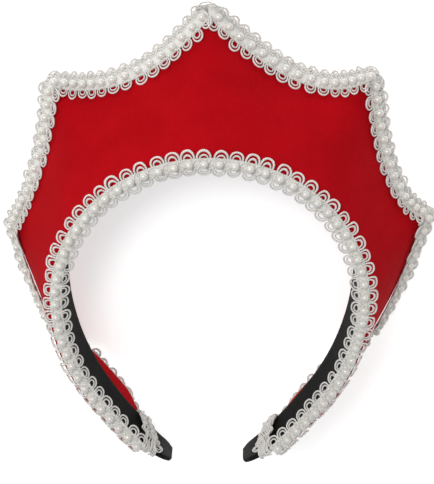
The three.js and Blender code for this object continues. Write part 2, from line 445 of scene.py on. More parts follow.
@dataclass(frozen=True)
class FeltRed(Finish):
    """Matt red felt: short matted nap with faint clouds and a few pale specks of lint."""

    name: str = "felt_red"
    deep: Colour = (0.40, 0.0022, 0.0055)
    bright: Colour = (0.49, 0.003, 0.0085)
    lint: Colour = (0.72, 0.30, 0.30)
    cloud_scale: float = 55.0
    nap_scale: float = 1500.0
    fibre_scale: float = 900.0
    fibre_stretch: Triple = (1.0, 4.0, 1.0)
    lint_scale: float = 130.0
    lint_patches: float = 90.0
    nap_depth: float = 0.35

    def paint(self, graph: Graph) -> dict[str, Any]:
        """Clouded red with a matted relief."""
        place = graph.place()
        clouds = graph.noise(place, self.cloud_scale, 4.0, 0.55)
        nap = graph.noise(place, self.nap_scale, 5.0, 0.65)
        drawn = graph.node("ShaderNodeMapping", None, {0: place, "Scale": self.fibre_stretch})
        fibres = graph.noise(drawn, self.fibre_scale)
        share = clouds.rise(0.3, 0.7) * 0.6 + nap * 0.4
        values = {"Vector": place, "Scale": self.lint_scale}
        specks = graph.node("ShaderNodeTexVoronoi", None, values)
        rare = graph.noise(place, self.lint_patches, 0.0).rise(0.74, 0.76)
        lint = (1.0 - specks.rise(0.02, 0.07)) * rare
        red = graph.blend(share, self.deep, self.bright)
        return {
            "Base Color": graph.blend(lint * 0.7, red, self.lint),
            "Roughness": 0.82 + 0.14 * fibres,
            "Normal": graph.bump(nap * 0.6 + fibres * 0.4, self.nap_depth, 0.8),
            "Specular IOR Level": 0.04,
        }


@dataclass(frozen=True)
class SatinBlack(Finish):
    """Black satin cloth drawn over the band: a fine slanting weave, glossier on the worn tips."""

    name: str = "satin_black"
    deep: Colour = (0.0025, 0.0027, 0.0025)
    lit: Colour = (0.0085, 0.009, 0.008)
    threads: float = 3.2
    cloud_scale: float = 140.0
    weave_depth: float = 0.08

    def paint(self, graph: Graph) -> dict[str, Any]:
        """Slanting threads on the lengths that the band's points carry."""
        run, across, worn = (graph.value(word) for word in ("run_mm", "across_mm", "worn"))
        twill = ((run + across) * (self.threads * math.tau)).sin() * 0.5 + 0.5
        weft = ((run - across) * (self.threads * math.tau * 0.5)).sin() * 0.5 + 0.5
        clouds = graph.noise(graph.place(), self.cloud_scale, 4.0)
        weave = twill * 0.7 + weft * 0.3
        return {
            "Base Color": graph.blend(weave * 0.6 + clouds * 0.4, self.deep, self.lit),
            "Roughness": 0.66 - worn * 0.2 + clouds * 0.1 - weave * 0.06,
            "Normal": graph.bump(weave * 0.5 + clouds, self.weave_depth, 0.6),
            "Coat Weight": worn * 0.12,
            "Coat Roughness": 0.12,
            "Specular IOR Level": 0.05,
        }


@dataclass(frozen=True)
class GimpWhite(Finish):
    """White gimp cord: lustrous thread wound round a core, with painted shade down in its turns."""

    name: str = "gimp_white"
    # painted shade: the grey of the hollows between the thread's turns
    hollow: Colour = (0.48, 0.455, 0.42)
    lit: Colour = (0.87, 0.855, 0.815)
    turns: float = 1.25
    fuzz_scale: float = 2200.0
    cloud_scale: float = 420.0
    thread_depth: float = 0.14

    def paint(self, graph: Graph) -> dict[str, Any]:
        """Turns of thread on the lengths and directions that the cords' points carry."""
        run = graph.value("lay_mm") * (self.turns * math.tau)
        rounds = graph.node("ShaderNodeAttribute", {"attribute_name": "round_dir"}, None, "Vector")
        level, upright, _ = graph.parts(rounds)
        # painted shade: the turn pattern greys the colour in the hollows between the thread's turns
        turn = (run.sin() * level + run.cos() * upright) * 0.5 + 0.5
        place = graph.place()
        fuzz = graph.noise(place, self.fuzz_scale, 4.0, 0.6)
        clouds = graph.noise(place, self.cloud_scale, 3.0)
        # the colour's tone is partly painted shade from the turns and partly random fuzz and clouds
        tone = turn * 0.35 + fuzz * 0.25 + clouds * 0.4
        return {
            "Base Color": graph.blend(tone.rise(0.1, 0.62), self.hollow, self.lit),
            "Roughness": 0.42 + fuzz * 0.25,
            "Normal": graph.bump(turn * 0.75 + fuzz * 0.25, self.thread_depth, 0.85),
            "Sheen Weight": 0.12,
            "Specular IOR Level": 0.4,
        }


@dataclass(frozen=True)
class PearlCream(Finish):
    """Moulded cream pearl with a bright lustre."""

    name: str = "pearl_cream"
    warm: Colour = (0.80, 0.765, 0.69)
    cool: Colour = (0.78, 0.78, 0.735)
    cloud_scale: float = 600.0

    def paint(self, graph: Graph) -> dict[str, Any]:
        """Faint clouds, and a tone of its own for each pearl."""
        clouds = graph.noise(graph.place(), self.cloud_scale, 2.0)
        share = graph.value("tone") * 0.7 + clouds * 0.3
        return {
            "Base Color": graph.blend(share, self.warm, self.cool),
            "Roughness": 0.24 + clouds * 0.12,
            "Coat Weight": 0.9,
            "Coat Roughness": 0.2,
            "Coat IOR": 2.0,
            "Specular IOR Level": 0.6,
        }


@dataclass(frozen=True)
class PaleFloor(Finish):
    """Plain white studio floor."""

    name: str = "pale_floor"
    grey: Colour = (0.93, 0.93, 0.93)
    white: Colour = (0.96, 0.96, 0.96)
    grain_scale: float = 30.0
    glow: float = 0.52

    def paint(self, graph: Graph) -> dict[str, Any]:
        """White with a barely visible grain."""
        grain = graph.noise(graph.place(), self.grain_scale, 2.0)
        white = graph.blend(grain, self.grey, self.white)
        glow = {"Emission Color": WHITE, "Emission Strength": self.glow}
        return {"Base Color": white, "Roughness": 0.9, **glow}


class Recipe(Graph):
    """A Geometry Nodes tree with named inputs, run once to a plain mesh."""

    KINDS = {int: "NodeSocketInt", float: "NodeSocketFloat"}

    def __init__(self, name: str, sizes: dict[str, int | float]) -> None:
        """Starts a tree.

        Args:
            name: the tree's name.
            sizes: its named inputs with their values.
        """
        super().__init__(bpy.data.node_groups.new(name, "GeometryNodeTree"))
        face = self.tree.interface
        face.new_socket("Geometry", in_out="INPUT", socket_type="NodeSocketGeometry")
        self.sizes = sizes
        for word, value in sizes.items():
            face.new_socket(word, in_out="INPUT", socket_type=self.KINDS[type(value)])
        face.new_socket("Geometry", in_out="OUTPUT", socket_type="NodeSocketGeometry")
        self.group = self.tree.nodes.new("NodeGroupInput")

    def size(self, word: str) -> Wire:
        """Named input of the tree."""
        return Wire(self, self.group.outputs[word])

    def start(self) -> Wire:
        """Geometry that the tree starts from."""
        return Wire(self, self.group.outputs["Geometry"])

    def keep(self, geometry: Wire, name: str, value: Wire | float, kind: str = "FLOAT",
             domain: str = "POINT") -> Wire:
        """Stores a value on geometry, for its finish or for its laying.

        Args:
            geometry: what carries it.
            name: the value's name.
            value: the value.
            kind: its type.
            domain: what has a value of its own.

        Returns:
            The geometry with the value.
        """
        settings = {"data_type": kind, "domain": domain}
        return self.node("GeometryNodeStoreNamedAttribute", settings,
                         {"Geometry": geometry, "Name": name, "Value": value})

    def line(self, count: Wire | int, place: Callable[[Wire], Wire],
             lay: Callable[[Wire], Wire]) -> Wire:
        """Curve through a number of places.

        Args:
            count: how many points it has.
            place: the place at a share of its length.
            lay: the length laid at a share of its length.

        Returns:
            The curve.
        """
        straight = self.node("GeometryNodeCurvePrimitiveLine")
        even = self.node("GeometryNodeResampleCurve", None, {"Curve": straight, "Count": count})
        share = self.node("GeometryNodeSplineParameter", None, None, "Factor")
        kept = self.keep(even, "lay_mm", lay(share))
        values = {"Geometry": kept, "Position": place(share)}
        return self.node("GeometryNodeSetPosition", None, values)

    def swept(self, curve: Wire, profile: Wire) -> Wire:
        """Mesh of a profile carried along a curve, closed at its ends."""
        values = {"Curve": curve, "Profile Curve": profile, "Fill Caps": True}
        return self.node("GeometryNodeCurveToMesh", None, values)

    def cord(self, curve: Wire, radius: Wire | float) -> Wire:
        """Round cord along a curve.

        Args:
            curve: its line.
            radius: its radius.

        Returns:
            The cord's mesh.
        """
        values = {"Resolution": CORD_SIDES, "Radius": radius}
        circle = self.node("GeometryNodeCurvePrimitiveCircle", None, values)
        turn = self.node("GeometryNodeSplineParameter", None, None, "Factor") * math.tau
        outwards = self.vector(turn.cos(), turn.sin(), 0.0)
        return self.swept(curve, self.keep(circle, "round_dir", outwards, "FLOAT_VECTOR"))

    def moved(self, geometry: Wire, offset: Wire) -> Wire:
        """Geometry shifted by an offset for each of its points."""
        values = {"Geometry": geometry, "Offset": offset}
        return self.node("GeometryNodeSetPosition", None, values)

    def join(self, *wires: Wire) -> Wire:
        """Several geometries as one."""
        return self.node("GeometryNodeJoinGeometry", None, {0: list(wires)})

    def chance(self, low: float, high: float, seed: int) -> Wire:
        """Random number for each element, the same in every run.

        Args:
            low: the least.
            high: the most.
            seed: which set of numbers.

        Returns:
            The number.
        """
        values = {2: low, 3: high, "Seed": seed}
        return self.node("FunctionNodeRandomValue", {"data_type": "FLOAT"}, values, 1)

    def scatter(self, seed: int, *reaches: float) -> Wire:
        """Random vector for each element.

        Args:
            seed: which set of numbers the first value uses; the others use the next ones.
            reaches: how far each of the three values may be from zero.

        Returns:
            The vector.
        """
        values = (self.chance(-reach, reach, seed + i) for i, reach in enumerate(reaches))
        return self.vector(*values)

    def run(self, geometry: Wire, finish: Finish, name: str,
            start: bpy.types.Mesh | None = None) -> bpy.types.Object:
        """Ends the tree, runs it and keeps its result as a plain mesh.

        Args:
            geometry: the tree's result.
            finish: what it is made of.
            name: the piece's name.
            start: the mesh that the tree starts from.

        Returns:
            The piece.
        """
        real = self.node("GeometryNodeRealizeInstances", None, {"Geometry": geometry})
        values = {"Geometry": real, "Material": finish.make()}
        dressed = self.node("GeometryNodeSetMaterial", None, values)
        end = self.tree.nodes.new("NodeGroupOutput")
        self.tree.links.new(dressed.socket, end.inputs["Geometry"])
        carrier = add_object(name + "_start", start or bpy.data.meshes.new(name + "_start"))
        modifier = carrier.modifiers.new("recipe", "NODES")
        modifier.node_group = self.tree
        for item in self.tree.interface.items_tree:
            if item.in_out == "INPUT" and item.name in self.sizes:
                modifier[item.identifier] = self.sizes[item.name]
        carrier.update_tag()
        graph = bpy.context.evaluated_depsgraph_get()
        mesh = bpy.data.meshes.new_from_object(carrier.evaluated_get(graph), depsgraph=graph)
        carrier.modifiers.remove(modifier)
        bpy.data.objects.remove(carrier)
        mesh.name = name
        return add_object(name, mesh)


# The hood's driving lines

@dataclass(frozen=True)
class HoodLine:
    """Front line of the headband: three tangent arcs on each side of its top, in millimetres."""

    crown_radius: float = 66.8
    crown_sweep: float = 91.5
    cheek_radius: float = 90.0
    cheek_sweep: float = 34.3
    tail_radius: float = 400.0
    tail_length: float = 49.9
    band_wall: float = 2.5
    band_inset: float = 2.0
    crest_wall: float = 2.5
    gap: float = 0.3
    hood_depth: float = 42.0
    rim_lift: float = 3.0

    @property
    def half_length(self) -> float:
        """Length from the line's top to a tip."""
        crown = self.crown_radius * math.radians(self.crown_sweep)
        return crown + self.cheek_radius * math.radians(self.cheek_sweep) + self.tail_length

    @property
    def front(self) -> float:
        """Height of the band's front edge above the surface that the hood lies on."""
        return self.rim_lift + self.hood_depth

    @property
    def band_face(self) -> float:
        """Offset of the band's outer face from the line."""
        return self.band_wall - self.band_inset

    @property
    def shift(self) -> Array:
        """Place of the line's top in the frame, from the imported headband."""
        low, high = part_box("headband")
        return np.array([(low.x + high.x) / 2 / MM, high.y / MM - self.band_face, 0.0])

    def read(self, distance: Array) -> tuple[Array, Array]:
        """Points and outward directions of the line.

        Args:
            distance: signed distances from its top.

        Returns:
            The points and the directions.
        """
        left = np.abs(np.asarray(distance, float))
        side = np.where(np.asarray(distance) < 0, -1.0, 1.0)
        turn, x, y = (np.zeros_like(left) for _ in range(3))
        arcs = (
            (self.crown_radius, self.crown_radius * math.radians(self.crown_sweep)),
            (self.cheek_radius, self.cheek_radius * math.radians(self.cheek_sweep)),
            (self.tail_radius, math.inf),
        )
        for radius, length in arcs:
            step = np.minimum(left, length)
            after = turn + step / radius
            x += radius * (np.sin(after) - np.sin(turn))
            y += radius * (np.cos(after) - np.cos(turn))
            turn = after
            left = left - step
        none = np.zeros_like(x)
        points = np.stack([side * x, y, none], axis=1)
        return points, np.stack([side * np.sin(turn), np.cos(turn), none], axis=1)

    def at(self, distance: Array, offset: Array | float, height: Array | float) -> Array:
        """Points beside the line, in the hood's frame.

        Args:
            distance: signed distances along it.
            offset: how far out from it.
            height: how high above the surface.

        Returns:
            The points.
        """
        point, out = self.read(distance)
        offset = np.broadcast_to(offset, np.shape(distance))
        made = point + out * offset[:, None] + self.shift
        made[:, 2] = height
        return made


@dataclass(frozen=True)
class Corner:
    """Corner of the rim: shares of the band's half length, the crest's stand and the hood's depth.

    The edge that comes down to it sags by a share of the stand, deepest at sag_at, and the
    pearls crowd together by a share towards its end.
    """

    at: float
    stand: float
    depth: float
    sag: float = 0.0
    sag_at: float = 0.5
    crowd: float = 0.0


@dataclass(frozen=True)
class Rim:
    """The crest's rim as a walk from its left end over the top point to its right end."""

    line: HoodLine = HoodLine()
    stand: float = 53.6
    top: Corner = Corner(-0.006, 1.0, 1.0)
    left: tuple[Corner, ...] = (
        Corner(0.217, 0.828, 1.0, 0.219, 0.61, 0.36),
        Corner(0.441, 0.479, 1.0, 0.071, 0.65, 0.4),
        Corner(0.646, 0.261, 1.0, -0.008),
        Corner(0.746, 0.093, 0.93, -0.01),
        Corner(0.865, 0.071, 0.87),
        Corner(0.908, 0.066, 0.62, -0.01),
    )
    right: tuple[Corner, ...] = (
        Corner(0.203, 0.89, 1.0, 0.232, 0.75, 0.36),
        Corner(0.416, 0.639, 1.0, 0.15, 0.83, 0.4),
        Corner(0.646, 0.307, 1.0, -0.031, 0.54),
        Corner(0.746, 0.093, 0.78, -0.01),
        Corner(0.865, 0.071, 0.68),
        Corner(0.9, 0.066, 0.52, -0.01),
    )
    crowd_from: float = 0.5
    crowd_full: float = 0.78
    spacing: float = 0.8
    lean_reach: float = 6.0

    def _corner(self, corner: Corner, sign: int) -> tuple[float, Array]:
        """Distance along the band and place of a corner."""
        distance = sign * corner.at * self.line.half_length
        height = self.line.front - corner.depth * self.line.hood_depth
        return distance, self.line.at(np.array([distance]), corner.stand * self.stand, height)[0]

    def side(self, side: Side) -> tuple[Array, Array, Array]:
        """Walk down one side from the top point.

        Args:
            side: which side.

        Returns:
            Distances along the band, places on the rim and how far the pearls are spread.
        """
        rows: list[tuple[Array, Array, Array]] = []
        start, begin = self._corner(self.top, 1)
        for corner in self.left if side is Side.LEFT else self.right:
            stop, end = self._corner(corner, side.value)
            chord = end - begin
            outward = unit(np.cross(chord, [0.0, 0.0, 1.0])) * -side.value
            bend = begin + chord * corner.sag_at - outward * 2.0 * corner.sag * self.stand
            cuts = max(3, round(float(np.linalg.norm(chord)) / self.spacing))
            share = np.linspace(0.0, 1.0, cuts + 1)[1 if rows else 0:]
            part = share[:, None]
            edge = (1 - part) ** 2 * begin + 2 * part * (1 - part) * bend + part ** 2 * end
            tight = 1.0 - corner.crowd * smooth_step(share, self.crowd_from, self.crowd_full)
            rows.append((start + (stop - start) * share, edge, tight))
            start, begin = stop, end
        return tuple(np.concatenate([row[i] for row in rows]) for i in range(3))

    def whole(self) -> tuple[Array, Array]:
        """Whole walk, from the left end to the right end.

        Returns:
            Distances along the band and places on the rim.
        """
        left, right = self.side(Side.LEFT), self.side(Side.RIGHT)
        return tuple(np.concatenate([left[i][:0:-1], right[i]]) for i in range(2))

    def faces(self, distance: Array, edge: Array) -> tuple[Array, Array, Array]:
        """Directions on the crest's outer face along a walk.

        Args:
            distance: distances along the band.
            edge: places on the rim.

        Returns:
            Down the slope, away from the face, and the slope's lean.
        """
        along = unit(np.gradient(edge, axis=0))
        root = self.line.at(distance, self.line.band_face + self.line.gap + self.line.crest_wall,
                            self.line.front)
        slope = unit(edge - root)
        away = unit(np.cross(along, slope))
        _, out = self.line.read(distance)
        away *= np.where(np.einsum("ij,ij->i", away, out) < 0, -1.0, 1.0)[:, None]
        down = unit(np.cross(away, along))
        down *= np.where(np.einsum("ij,ij->i", down, slope) < 0, -1.0, 1.0)[:, None]
        return down, away, np.arcsin(-slope[:, 2])

    def lean_at(self, distance: Array) -> Array:
        """Lean of the crest beside places on the band."""
        known, edge = self.whole()
        _, _, lean = self.faces(known, edge)
        return np.interp(distance, known, soften(lean, self.lean_reach))


# Sub-assemblies

@dataclass
class Headband:
    """Stiff band covered with black satin cloth, narrowing to a rounded tip at each end.

    A row of the taper is a share of the band's half length, and there the width and the front
    edge's drop as shares of the full width.
    """

    line: HoodLine
    width: float = 34.0
    edge_round: float = 1.15
    spacing: float = 1.6
    bunching: float = 0.985
    taper_cuts: int = 400
    taper_reach: float = 3.0
    worn_from: float = 0.93
    worn_full: float = 0.99
    pucker: float = 0.05
    taper: tuple[Triple, ...] = (
        (0.0, 1.0, 0.0), (0.53, 1.0, 0.0), (0.61, 0.92, 0.0), (0.69, 0.81, 0.0),
        (0.76, 0.71, 0.0), (0.83, 0.62, 0.0), (0.9, 0.6, 0.0), (0.93, 0.54, 0.06),
        (0.96, 0.47, 0.13), (0.985, 0.42, 0.2), (1.0, 0.29, 0.27),
    )

    def edges(self, distance: Array) -> tuple[Array, Array]:
        """Heights of the band's front and rear edge.

        Args:
            distance: signed distances along the line.

        Returns:
            The two heights.
        """
        known = np.linspace(0.0, 1.0, self.taper_cuts)
        rows = np.array(self.taper)
        soft = soften(read_rows(known, rows[:, 0], rows[:, 1:]), self.taper_reach)
        share = np.abs(distance) / self.line.half_length
        width, drop = read_rows(share, known, soft).T * self.width
        front = self.line.front - drop
        return front, front - width

    def build(self) -> bpy.types.Object:
        """Makes the band's mesh with rounded edges and a puckered cover near the tips.

        Returns:
            The piece.
        """
        line, half = self.line, self.line.half_length
        count = int(2 * half / self.spacing)
        spread = np.linspace(-1.0, 1.0, count) * (math.pi / 2)
        distance = half * np.sin(spread * self.bunching) / math.sin(math.pi / 2 * self.bunching)
        front, rear = self.edges(distance)
        rounding = np.minimum(self.edge_round, (front - rear) * 0.45)
        rings = []
        section = self._section()
        for way, share, turn_out, turn_up in section:
            face = -line.band_inset if way < 0 else line.band_face
            offset = face - way * rounding * (1 - turn_out)
            height = rear + rounding + (front - rear - 2 * rounding) * share + rounding * turn_up
            pucker = self._puckered(distance, share) * (1 - abs(turn_up))
            rings.append(line.at(distance, offset + pucker * way, height))
        points = np.stack(rings, axis=1)
        mesh = shell(points, "headband_cover")
        shade_smooth(mesh)
        around = np.tile(np.array([row[1] for row in section]) * self.width, (count, 1))
        near_tip = smooth_step(np.abs(distance) / half, self.worn_from, self.worn_full)
        give_values(mesh, "run_mm", np.repeat(distance, len(section)))
        give_values(mesh, "across_mm", around.ravel())
        give_values(mesh, "worn", np.repeat(near_tip, len(section)))
        piece = add_object("headband_cover", mesh)
        mesh.materials.append(SatinBlack().make())
        return hand_over(piece, ["headband"])

    def _section(self) -> list[tuple[int, float, float, float]]:
        """Points round the band: face, share of its height, turn outwards and turn upwards."""
        rows: list[tuple[int, float, float, float]] = []
        corner = np.radians(np.array([0.0, 22.5, 45.0, 67.5, 90.0]))
        flat = np.linspace(0.0, 1.0, 9)[1:-1]
        rows += [(1, float(share), 1.0, 0.0) for share in flat]
        rows += [(1, 1.0, math.cos(a), math.sin(a)) for a in corner]
        rows += [(-1, 1.0, math.cos(a), math.sin(a)) for a in corner[::-1]]
        rows += [(-1, float(share), 1.0, 0.0) for share in flat[::-1]]
        rows += [(-1, 0.0, math.cos(a), -math.sin(a)) for a in corner]
        rows += [(1, 0.0, math.cos(a), -math.sin(a)) for a in corner[::-1]]
        return rows

    def _puckered(self, distance: Array, share: float) -> Array:
        """Slight unevenness of the glued cloth, none at its edges, in millimetres."""
        wave = np.sin(distance * 0.41 + share * 5.0) + 0.6 * np.sin(distance * 0.93 - share * 9.0)
        return self.pucker * wave * max(math.sin(math.pi * share), 0.0) ** 0.5 * (0 < share < 1)


@dataclass
class Crest:
    """Stiff board with red felt on both faces, from the band's front edge out to the rim."""

    rim: Rim
    cuts: int = 26
    wave: float = 0.14
    fade: float = 34.0
    corner_round: float = 5.0
    edge_turns: tuple[float, ...] = (0.15, 0.5, 0.85)
    rim_bulge: float = 0.45
    root_bulge: float = 0.3

    def build(self) -> bpy.types.Object:
        """Makes the crest's mesh with soft edges and a slightly uneven face.

        Returns:
            The piece.
        """
        line = self.rim.line
        distance, edge = self.rim.whole()
        edge = soften(edge, self.corner_round)
        down, away, lean = self.rim.faces(distance, edge)
        root = line.band_face + line.gap
        thick = line.crest_wall / np.sin(lean)
        inside = line.at(distance, root, line.front)
        outside = line.at(distance, root + thick, line.front)
        slope = unit(edge - outside)
        level = away + slope * (away[:, 2] / -slope[:, 2])[:, None]
        level[:, 2] = 0.0
        share = np.linspace(0.0, 1.0, self.cuts)
        inner_edge = edge - level * line.crest_wall
        rings = [
            self._drawn(outside, edge, part) + away * self._swell(distance, part)[:, None]
            for part in share
        ]
        rings += self._rounded(edge, inner_edge, down * self.rim_bulge)
        rings += [self._drawn(inside, inner_edge, part) for part in share[::-1]]
        rings += self._rounded(inside, outside, -down * self.root_bulge)
        mesh = shell(np.stack(rings, axis=1), "crest_felt")
        shade_smooth(mesh)
        mesh.materials.append(FeltRed().make())
        piece = add_object("crest_felt", mesh)
        return hand_over(piece, ["crest"])

    def _drawn(self, root: Array, edge: Array, part: float) -> Array:
        """Points between the band and the rim, with the rim's corners fading towards the band.

        Args:
            root: the crest's line at the band.
            edge: its line at the rim.
            part: share of the way out.

        Returns:
            The points.
        """
        faded = edge if part > 0.99 else soften(edge, self.fade * (1.0 - part))
        return root + (faded - root) * part

    def _swell(self, distance: Array, part: float) -> Array:
        """Uneven stretch of the felt over its board, level at its edges."""
        wave = np.sin(distance * 0.11 + part * 3.1) * np.cos(distance * 0.047 - part * 5.3)
        wave = wave + 0.5 * np.sin(distance * 0.23 - part * 7.0)
        return self.wave * wave * math.sin(math.pi * part) ** 2

    def _rounded(self, start: Array, stop: Array, out: Array) -> list[Array]:
        """Lines of a rounded edge between two lines."""
        return [
            start + (stop - start) * part + out * math.sin(math.pi * part)
            for part in self.edge_turns
        ]


@dataclass(frozen=True)
class BraidPattern:
    """Sizes of one repeat of the corded braid, in millimetres from its pearl.

    Each scallop has an outer and an inner ring of cord. A row of the rails is how far across the
    braid a cord runs, its radius and its sway.
    """

    pitch: float = 6.4
    ground: float = 2.35
    web: float = 2.35
    ground_thick: float = 0.75
    weave_reach: float = 2.1
    weave_radius: float = 0.5
    weave_height: float = 0.62
    weave_lift: float = 0.22
    outer_half: float = 2.68
    outer_middle: float = 3.8
    outer_top: float = 6.2
    outer_radius: float = 0.42
    outer_closing: float = 50.0
    outer_cuts: int = 18
    inner_half: float = 1.6
    inner_middle: float = 3.5
    inner_top: float = 4.75
    inner_radius: float = 0.36
    inner_closing: float = 40.0
    inner_cuts: int = 13
    cord_height: float = 0.6
    cord_rise: float = 0.12
    rail_height: float = 0.72
    rails: tuple[Triple, ...] = (
        (2.1, 0.34, 0.2), (1.3, 0.3, 0.16), (-1.3, 0.3, 0.16), (-2.1, 0.34, 0.2),
    )
    slip: Triple = (0.22, 0.18, 0.1)
    turn: Triple = (0.09, 0.1, 0.12)
    width_range: tuple[float, float] = (0.92, 1.06)
    reach_range: tuple[float, float] = (0.95, 1.05)
    strand_cuts: int = 14
    ground_cuts: int = 4
    seed: int = 7

    def strip(self, units: int, name: str) -> bpy.types.Object:
        """Straight braid without its pearls, flat on the XY plane, in millimetres.

        Args:
            units: how many repeats it has.
            name: the piece's name.

        Returns:
            The piece: X runs along it, Y across it and Z stands off it.
        """
        sizes = {
            "Repeats": units, "Pitch": self.pitch, "Outer Half": self.outer_half,
            "Outer Middle": self.outer_middle, "Outer Top": self.outer_top,
            "Inner Half": self.inner_half, "Inner Middle": self.inner_middle,
            "Inner Top": self.inner_top, "Cord Height": self.cord_height,
        }
        tree = Recipe(name + "_recipe", sizes)
        outer = self._ring(tree, "Outer", self.outer_radius, self.outer_closing, self.outer_cuts)
        inner = self._ring(tree, "Inner", self.inner_radius, self.inner_closing, self.inner_cuts)
        loop = tree.join(outer, inner)
        rows = [self._row(tree, loop, side, self.seed + 3 * side) for side in (1, -1)]
        strands = [self._strand(tree, phase, lift) for phase, lift in ((0.0, 0.0), (math.pi, 0.5))]
        strands += [self._rail(tree, *rail) for rail in self.rails]
        ground = self._ground(tree)
        return tree.run(tree.join(*rows, *strands, ground), GimpWhite(), name)

    def _ring(self, tree: Recipe, which: str, radius: float, closing: float, cuts: int) -> Wire:
        """Ring of cord of a scallop, its feet on the ground strip.

        Args:
            tree: the recipe.
            which: the first word of the inputs with its sizes.
            radius: the cord's radius.
            closing: how far it closes in below its middle, in degrees.
            cuts: how many points it has.

        Returns:
            The cord.
        """
        extra = math.radians(closing)

        def place(share: Wire) -> Wire:
            """Place on the loop at a share of its length."""
            angle = share * (math.pi + 2 * extra) - extra
            rise = tree.size(which + " Top") - tree.size(which + " Middle")
            reach = tree.size(which + " Middle") + rise * angle.sin()
            height = tree.size("Cord Height") + self.cord_rise * angle.sin()
            return tree.vector(angle.cos() * tree.size(which + " Half"), reach, height)

        def lay(share: Wire) -> Wire:
            """Length of cord laid."""
            return share * (2.0 * self.outer_top)

        return tree.cord(tree.line(cuts, place, lay), radius)

    def _row(self, tree: Recipe, loop: Wire, side: int, seed: int) -> Wire:
        """Row of scallops on one side of the braid.

        Args:
            tree: the recipe.
            loop: the scallop.
            side: 1 for the outer side, -1 for the inner one.
            seed: which set of random numbers.

        Returns:
            The scallops as instances.
        """
        count = tree.size("Repeats")
        offset = (self.pitch, 0.0, 0.0)
        points = tree.node("GeometryNodeMeshLine", None, {"Count": count, "Offset": offset})
        index = tree.node("GeometryNodeInputIndex")
        moved = tree.moved(points, tree.scatter(seed, *self.slip))
        size = tree.vector(
            tree.chance(*self.width_range, seed + 3),
            tree.chance(*self.reach_range, seed + 4) * side,
            1.0,
        )
        turn = tree.scatter(seed + 5, *self.turn)
        made = tree.node("GeometryNodeInstanceOnPoints", None,
                         {"Points": moved, "Instance": loop, "Rotation": turn, "Scale": size})
        marked = tree.keep(made, "unit", index, "FLOAT", "INSTANCE")
        if side > 0:
            return marked
        real = tree.node("GeometryNodeRealizeInstances", None, {"Geometry": marked})
        return tree.node("GeometryNodeFlipFaces", None, {"Mesh": real})

    def _strand(self, tree: Recipe, phase: float, lift: float) -> Wire:
        """Cord that winds along the braid from side to side between the pearls."""
        def place(share: Wire) -> Wire:
            """Place on the strand at a share of its length."""
            run = share * tree.size("Repeats") - 0.5
            wave = (run * math.tau + phase).cos()
            over = (run * math.tau * 2 + lift * math.tau).sin()
            height = self.weave_height + self.weave_lift * over
            return tree.vector(run * tree.size("Pitch"), wave * self.weave_reach, height)

        return self._ground_cord(tree, place, self.weave_radius)

    def _rail(self, tree: Recipe, across: float, radius: float, sway: float) -> Wire:
        """Cord that runs along the braid beside its pearls."""
        def place(share: Wire) -> Wire:
            """Place on the rail at a share of its length."""
            run = share * tree.size("Repeats") - 0.5
            wave = (run * (math.tau * 2) + across * 2.0).sin() * sway
            lift = (run * (math.tau * 3) + across * 3.0).sin() * (0.7 * sway)
            return tree.vector(run * tree.size("Pitch"), wave + across, lift + self.rail_height)

        return self._ground_cord(tree, place, radius)

    def _ground_cord(self, tree: Recipe, place: Callable[[Wire], Wire], radius: float) -> Wire:
        """Cord along the whole braid, marked with the repeat that each point belongs to."""
        count = tree.size("Repeats") * self.strand_cuts + 1
        curve = tree.line(count, place, lambda share: share * tree.size("Repeats") * self.pitch)
        return self._marked(tree, tree.cord(curve, radius))

    def _ground(self, tree: Recipe) -> Wire:
        """Thin woven strip below the pearls, which may run on behind the outer scallops."""
        def place(share: Wire) -> Wire:
            """Place on the strip's middle at a share of its length."""
            run = share * tree.size("Repeats") - 0.5
            middle = (self.web - self.ground) / 2
            return tree.vector(run * tree.size("Pitch"), middle, self.ground_thick / 2)

        count = tree.size("Repeats") * self.ground_cuts + 1
        curve = tree.line(count, place, lambda share: share * 0.0)
        flat = tree.node("GeometryNodeCurvePrimitiveQuadrilateral", None,
                         {"Width": self.ground + self.web, "Height": self.ground_thick})
        return self._marked(tree, tree.swept(curve, flat))

    def _marked(self, tree: Recipe, geometry: Wire) -> Wire:
        """Marks each point with the repeat that it belongs to."""
        run, _, _ = tree.parts(tree.node("GeometryNodeInputPosition"))
        return tree.keep(geometry, "unit", (run / tree.size("Pitch")).whole())


class Bed:
    """What a braid lies on: a line with a direction across it and one off it."""

    def lay(self, run: Array, frame_run: Array, across: Array, stand: Array) -> Array:
        """Places on the bed.

        Args:
            run: lengths along its line.
            frame_run: lengths at which its directions are read.
            across: offsets across it, outwards.
            stand: heights off it.

        Returns:
            The places, in millimetres.
        """
        raise NotImplementedError


